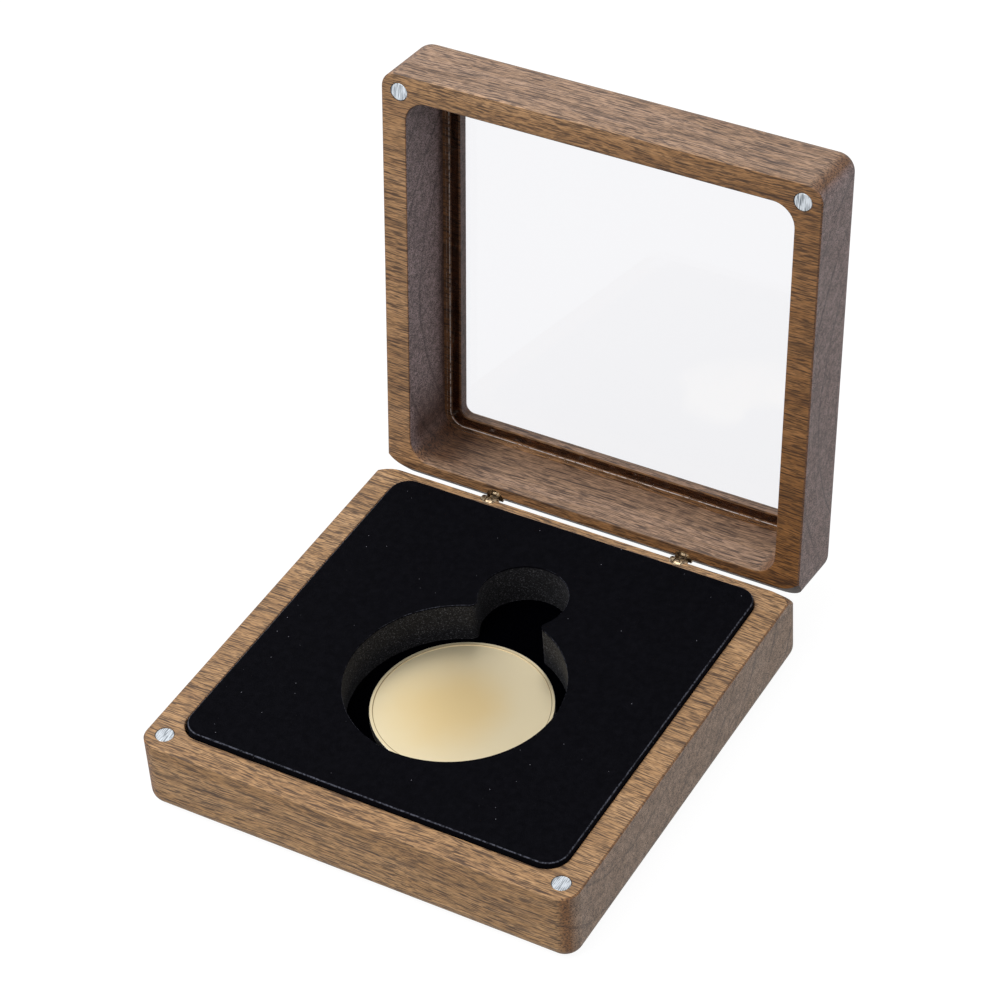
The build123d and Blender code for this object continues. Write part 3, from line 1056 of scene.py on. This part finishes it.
def makePane():
    # coated cast acrylic sheet: clear, with little left of its mirror image, and arrises ground
    # matt, which show as a pale line. Each face is taken as a thin sheet's, so what lies behind
    # it isn't doubled
    material, tree, surface = newMaterial("clearCastAcrylic")
    tree.nodes.remove(surface)
    shape = addNode(tree, "NewGeometry")
    index = addNode(tree, "MapRange", {
        "Value": shape.outputs["Backfacing"], "To Min": pane["index"],
        "To Max": 1 / pane["index"],
    })
    mirrored = addNode(tree, "Fresnel", {
        "IOR": index.outputs[0], "Normal": shape.outputs["True Normal"],
    })
    rays = addNode(tree, "LightPath")
    dim = addNode(tree, "Math", {
        0: rays.outputs["Is Shadow Ray"], 1: rays.outputs["Is Diffuse Ray"],
    }, operation="MAXIMUM")
    seen = addNode(tree, "MapRange", {
        "Value": dim.outputs[0], "To Min": pane["mirror"], "To Max": 0.0,
    })
    mirrorShare = addNode(tree, "Math", {
        0: mirrored.outputs[0], 1: seen.outputs[0],
    }, operation="MULTIPLY")
    clear = addNode(tree, "BsdfTransparent", {"Color": colour(pane["tint"])})
    gloss = addNode(tree, "BsdfAnisotropic", {
        "Roughness": 0.0, "Normal": shape.outputs["True Normal"],
    })
    mixed = addNode(tree, "MixShader", {
        0: mirrorShare.outputs[0], 1: clear.outputs[0], 2: gloss.outputs[0],
    })
    place = addNode(tree, "TexCoord")
    square = addNode(tree, "Mapping", {
        "Vector": place.outputs["Normal"], "Rotation": (math.radians(lidTurn), 0, 0),
    }, vector_type="NORMAL")
    apart = addNode(tree, "SeparateXYZ", {"Vector": square.outputs["Vector"]})
    slope = addNode(tree, "Math", {0: apart.outputs["Z"]}, operation="ABSOLUTE")
    above = addNode(tree, "Math", {
        0: slope.outputs[0], 1: pane["arrisFrom"],
    }, operation="GREATER_THAN")
    below = addNode(tree, "Math", {
        0: slope.outputs[0], 1: pane["arrisTo"],
    }, operation="LESS_THAN")
    sloping = addNode(tree, "Math", {
        0: above.outputs[0], 1: below.outputs[0],
    }, operation="MULTIPLY")
    chips = addNode(tree, "TexNoise", {
        "Vector": place.outputs["Object"], "Scale": 1 / pane["chipSize"], "Detail": 2.0,
    })
    unchipped = addNode(tree, "MapRange", {
        "Value": chips.outputs["Fac"], "From Min": 0.38, "From Max": 0.55, "To Min": 0.25,
    })
    arris = addNode(tree, "Math", {
        0: sloping.outputs[0], 1: unchipped.outputs[0],
    }, operation="MULTIPLY")
    ground = addNode(tree, "BsdfDiffuse", {"Color": colour(pane["groundArris"])})
    whole = addNode(tree, "MixShader", {
        0: arris.outputs[0], 1: mixed.outputs[0], 2: ground.outputs[0],
    })
    tree.links.new(whole.outputs[0], tree.nodes["Material Output"].inputs["Surface"])
    return material


glue = {  # sizes in millimetres
    "smear": "#8f8278",
    "wetTint": "#d8c8bc",
    "smearSize": 1.6,
    "smearShare": 0.35,
    "roughness": 0.4,
}


def makeGlue():
    # clear glue squeezed between pane and ledge: it wets the wood dark and has pale smears of air
    material, tree, surface = newMaterial("clearPaneGlue")
    place, millimetres = placeOnPiece(tree)
    smears = addNode(tree, "TexNoise", {
        "Vector": millimetres, "Scale": 1 / glue["smearSize"], "Detail": 3.0,
        "Roughness": 0.6, "Distortion": 1.2,
    })
    smearMask = addNode(tree, "ValToRGB", {"Fac": smears.outputs["Fac"]}, stops=[
        (0.60, (0, 0, 0)), (0.72, (glue["smearShare"],) * 3),
    ])
    setInputs(tree, surface, {
        "Base Color": colour(glue["smear"]), "Roughness": glue["roughness"],
    })
    wet = addNode(tree, "BsdfTransparent", {"Color": colour(glue["wetTint"])})
    mixed = addNode(tree, "MixShader", {
        0: smearMask.outputs["Color"], 1: wet.outputs[0], 2: surface.outputs[0],
    })
    tree.links.new(mixed.outputs[0], tree.nodes["Material Output"].inputs["Surface"])
    return material


velvetPile = makeVelvetPile()
cutFoam = makeCutFoam()
velvetTop.data.materials.append(velvetPile)
foamBlock.data.materials.append(cutFoam)
backingPad.data.materials.append(cutFoam)
recessLiner.data.materials.append(makeFelt())
paint(["coin_blank"], makeGold())
for side, turn in (("base", 0.0), ("lid", math.radians(lidTurn))):
    magnets = [name for name in nodes if side + "_magnet" in name]
    paint(magnets, makeNickel("groundNickel" + side.title(), turn))
paint([name for name in nodes if "hinge" in name], makeBrass())
paint(["window_pane"], makePane())
paint(["pane_adhesive"], makeGlue())
print("materials: walnut, velvet, foam, felt, gold, nickel, brass, acrylic and glue")


# bodies and replaced nodes

soft = (
    (velvetTop, "velvet_cover", "black_velvet"),
    (foamBlock, "insert_foam", "black_foam"),
    (recessLiner, "recess_floor", "black_liner"),
    (backingPad, "insert_pad", "black_foam"),
)
for piece, cadNode, slotName in soft:
    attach(piece, "base")
    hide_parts(cadNode)


# floor, light and camera

studio = {
    "floorSize": 6.0,
    "floorGap": mm(0.05),
    "floorColour": "#555556",
    "floorRoughness": 0.9,
    "floorGlow": 0.93,
    "fill": 0.69,
    "keyPlace": (-0.34, -0.30, 0.88),
    "keyAim": (0.0, 0.0, 0.02),
    "keySize": 1.0,
    "keyPower": 9.0,
}


def addPaleRays(tree):
    # 1 for the rays that see the pale room: the camera's own, and those off metal or through glass
    rays = addNode(tree, "LightPath")
    direct = addNode(tree, "Math", {
        0: rays.outputs["Is Camera Ray"], 1: rays.outputs["Is Glossy Ray"],
    }, operation="MAXIMUM")
    return addNode(tree, "Math", {
        0: direct.outputs[0], 1: rays.outputs["Is Transmission Ray"],
    }, operation="MAXIMUM").outputs[0]


floorHeight = cadBox[0][2] - studio["floorGap"]
bpy.ops.object.select_all(action="DESELECT")
bpy.ops.mesh.primitive_plane_add(size=studio["floorSize"], location=(0, 0, floorHeight))
floor = bpy.context.object
floor.name = "studioFloor"
bpy.ops.object.transform_apply(location=True, rotation=False, scale=False)
floorPaint, floorTree, floorSurface = newMaterial("paleSweep")
floorGlow = addNode(floorTree, "Math", {
    0: addPaleRays(floorTree), 1: studio["floorGlow"],
}, operation="MULTIPLY")
setInputs(floorTree, floorSurface, {
    "Base Color": colour(studio["floorColour"]), "Roughness": studio["floorRoughness"],
    "Emission Color": (1, 1, 1, 1), "Emission Strength": floorGlow.outputs[0],
})
floor.data.materials.append(floorPaint)

world = bpy.data.worlds.new("paleStudio")
bpy.context.scene.world = world
world.use_nodes = True
worldTree = world.node_tree
worldLevel = addNode(worldTree, "MapRange", {
    "Value": addPaleRays(worldTree), "To Min": studio["fill"], "To Max": 1.0,
})
setInputs(worldTree, worldTree.nodes["Background"], {
    "Color": (1, 1, 1, 1), "Strength": worldLevel.outputs[0],
})

bpy.ops.object.light_add(type="AREA", location=studio["keyPlace"])
key = bpy.context.object
key.name = "keySoftbox"
key.data.shape = "SQUARE"
key.data.size = studio["keySize"]
key.data.energy = studio["keyPower"]
keyDirection = Vector(studio["keyAim"]) - Vector(studio["keyPlace"])
key.rotation_euler = keyDirection.to_track_quat("-Z", "Y").to_euler()

cameraSet = {
    "aim": mm(-9.3103, 29.6321, 35.3801),
    "distance": mm(713.284),
    "azimuth": math.radians(32.223),
    "elevation": math.radians(40.3264),
    "roll": math.radians(-4.1722),
    "lens": 123.0919,
    "sensor": 36.0,
    "clipStart": 0.05,
}
bpy.ops.object.camera_add()
camera = bpy.context.object
camera.name = "photoCamera"
camera.data.lens = cameraSet["lens"]
camera.data.sensor_width = cameraSet["sensor"]
camera.data.clip_start = cameraSet["clipStart"]
camera.matrix_world = (
    Matrix.Translation(cameraSet["aim"])
    @ Matrix.Rotation(cameraSet["azimuth"], 4, "Z")
    @ Matrix.Rotation(math.pi / 2 - cameraSet["elevation"], 4, "X")
    @ Matrix.Rotation(cameraSet["roll"], 4, "Z")
    @ Matrix.Translation((0, 0, cameraSet["distance"]))
)
bpy.context.scene.camera = camera
bpy.context.scene.view_settings.view_transform = "Standard"
print("floor, light and camera set")
